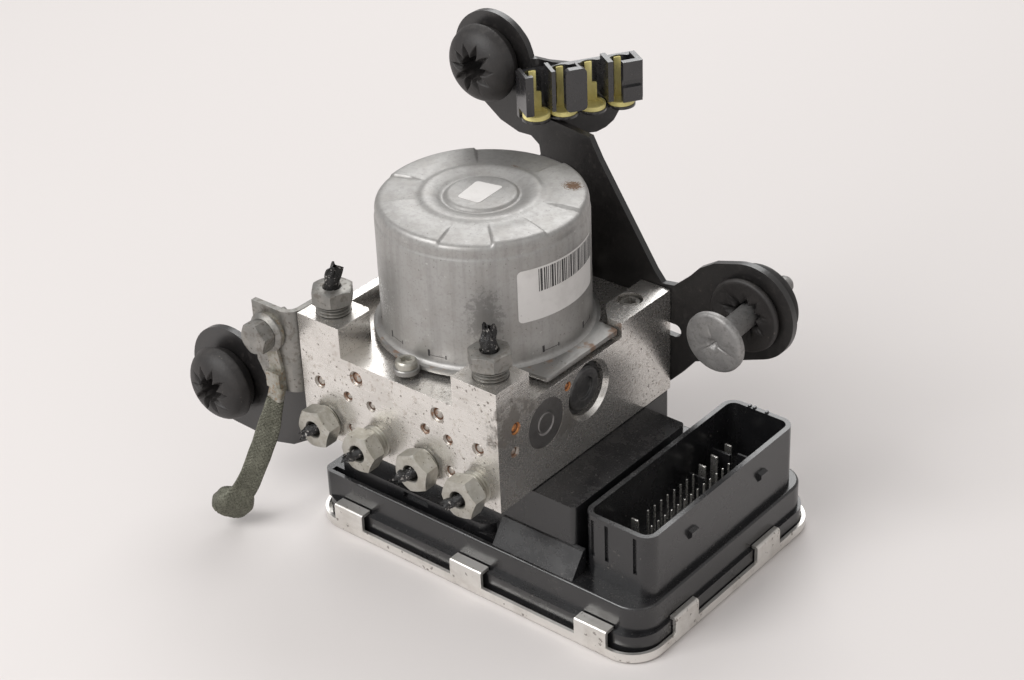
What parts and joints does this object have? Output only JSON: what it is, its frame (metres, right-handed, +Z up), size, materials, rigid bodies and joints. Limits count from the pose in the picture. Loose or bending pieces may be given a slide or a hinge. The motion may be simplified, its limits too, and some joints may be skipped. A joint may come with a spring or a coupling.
{
  "type": "anti-lock brake modulator",
  "caption": "Used anti-lock brake modulator with valve block, pump motor, control unit, black bracket on rubber isolators and an earth strap.",
  "frame": {"origin": "On the lid's underside, directly below the pump motor's axis.", "axes": "+Z up along the motor axis, -Y out of the wheel-port face, +X towards the plug side."},
  "size_m": [0.1981, 0.1422, 0.1661],
  "materials": {
    "block_alu": "sawn and milled",
    "steel_plain": "ground",
    "dark_steel": "dark",
    "copper_plug": "dull",
    "galvanised": "galvanised, dull",
    "zinc": "zinc plated, worn",
    "dark_zinc": "zinc plated, dull",
    "ferrite": "sintered",
    "brown_plastic": "moulded",
    "carbon": "pressed carbon",
    "laminations": "stacked",
    "copper": "enamelled",
    "pipe_black": "coated, torn",
    "lid_alu": "rolled",
    "black_plastic": "moulded, satin",
    "tin": "tin plated",
    "board_green": "lacquered",
    "seal_rubber": "moulded",
    "black_coat": "satin electrocoat",
    "rubber_black": "moulded",
    "clip_plastic": "moulded",
    "insert_yellow": "soft moulding",
    "braid": "oxidised tinned braid"
  },
  "bodies": {
    "unit": {"valve_block": "block_alu", "ball_plugs": "steel_plain", "side_plugs": "copper_plug", "motor_can": "galvanised", "motor_screws": "zinc", "motor_end_plate": "steel_plain", "motor_magnets": "ferrite", "motor_top_bearing": "steel_plain", "motor_nose_bearing": "steel_plain", "tail_bearing": "steel_plain", "brush_holder": "brown_plastic", "motor_brushes": "carbon", "pump_spring_left": "steel_plain", "store_spring_left": "steel_plain", "pump_spring_right": "steel_plain", "store_spring_right": "steel_plain", "pump_sleeves": "steel_plain", "pump_plugs": "dark_steel", "store_caps": "block_alu", "valve_cartridges": "steel_plain", "solenoid_coils": "black_plastic", "wheel_nuts": "zinc", "master_nuts": "dark_zinc", "wheel_pipe_ends": "pipe_black", "master_pipe_ends": "pipe_black", "ecu_lid": "lid_alu", "ecu_housing": "black_plastic", "connector_pins": "tin", "connector_blades": "tin", "circuit_board": "board_green", "board_chips": "black_plastic", "lid_seal": "seal_rubber", "block_seal": "seal_rubber", "ecu_screws": "zinc", "bracket": "black_coat", "bracket_screws": "zinc", "grommet_top": "rubber_black", "grommet_right": "rubber_black", "grommet_left": "rubber_black", "mounting_bolt": "zinc", "pipe_clip": "clip_plastic", "clip_inserts": "insert_yellow", "side_plate": "dark_zinc", "side_plate_screw": "zinc", "ground_bolt": "dark_zinc", "ground_nut": "dark_zinc", "ground_lug": "tin", "ground_strap": "braid"},
    "rotor": {"rotor_shaft": "steel_plain", "armature_core": "laminations", "armature_windings": "copper", "commutator": "copper", "eccentric": "steel_plain", "eccentric_race": "steel_plain"},
    "pump_left": {"pump_piston_left": "steel_plain"},
    "pump_right": {"pump_piston_right": "steel_plain"},
    "store_left": {"store_piston_left": "block_alu"},
    "store_right": {"store_piston_right": "block_alu"}
  },
  "joints": [
    {"name": "rotor_spin", "type": "hinge", "parent": "unit", "child": "rotor", "pos_m": [0, 0, 0.1], "axis": [0, 0, 1], "continuous": true},
    {"name": "pump_left_slide", "type": "slide", "parent": "unit", "child": "pump_left", "axis": [-1, 0, 0], "range_m": [0, 0.0016], "stiffness_N_per_m": 1500, "springref_m": -0.001, "deforming": ["pump_spring_left"]},
    {"name": "store_left_slide", "type": "slide", "parent": "unit", "child": "store_left", "axis": [-1, 0, 0], "range_m": [0, 0.006], "stiffness_N_per_m": 1500, "springref_m": -0.002, "deforming": ["store_spring_left"]},
    {"name": "pump_right_slide", "type": "slide", "parent": "unit", "child": "pump_right", "axis": [1, 0, 0], "range_m": [0, 0.0016], "stiffness_N_per_m": 1500, "springref_m": -0.001, "deforming": ["pump_spring_right"]},
    {"name": "store_right_slide", "type": "slide", "parent": "unit", "child": "store_right", "axis": [1, 0, 0], "range_m": [0, 0.006], "stiffness_N_per_m": 1500, "springref_m": -0.002, "deforming": ["store_spring_right"]}
  ]
}
